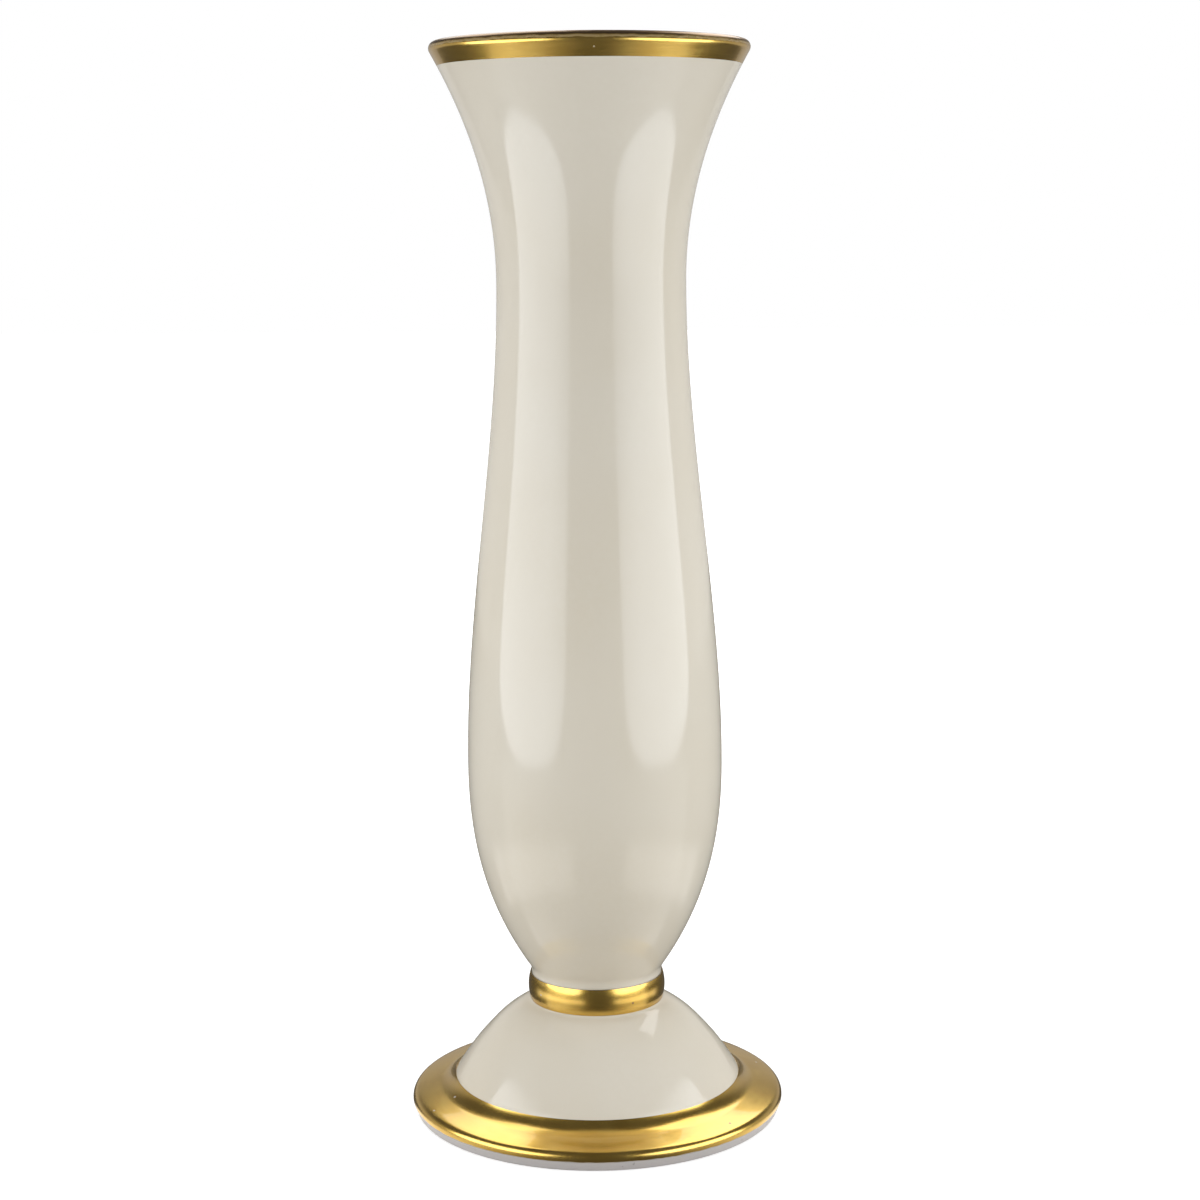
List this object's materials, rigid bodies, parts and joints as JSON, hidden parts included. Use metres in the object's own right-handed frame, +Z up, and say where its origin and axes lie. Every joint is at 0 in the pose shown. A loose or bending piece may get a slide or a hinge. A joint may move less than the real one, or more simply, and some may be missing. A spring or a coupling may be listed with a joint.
{
  "type": "vase",
  "caption": "Footed ivory porcelain bud vase with a flared lip, slender body, gilded bead waist and gilded domed foot, open at the top for water and stems.",
  "frame": {"origin": "centre of the foot ring, on the surface the vase stands on", "axes": "+Z up along the axis of the vase, -Y towards the viewer of the picture"},
  "size_m": [0.0708, 0.0708, 0.1996],
  "materials": {
    "ivory_porcelain": "glossy ivory glaze",
    "fired_slip": "matt fired slip",
    "gilding": "satin fired gold"
  },
  "bodies": {
    "root": {"body_casting": "ivory_porcelain", "waist_knop": "ivory_porcelain", "foot_casting": "ivory_porcelain", "upper_luting_slip": "fired_slip", "lower_luting_slip": "fired_slip", "rim_gilding": "gilding", "knop_gilding": "gilding", "foot_gilding": "gilding"}
  },
  "joints": []
}
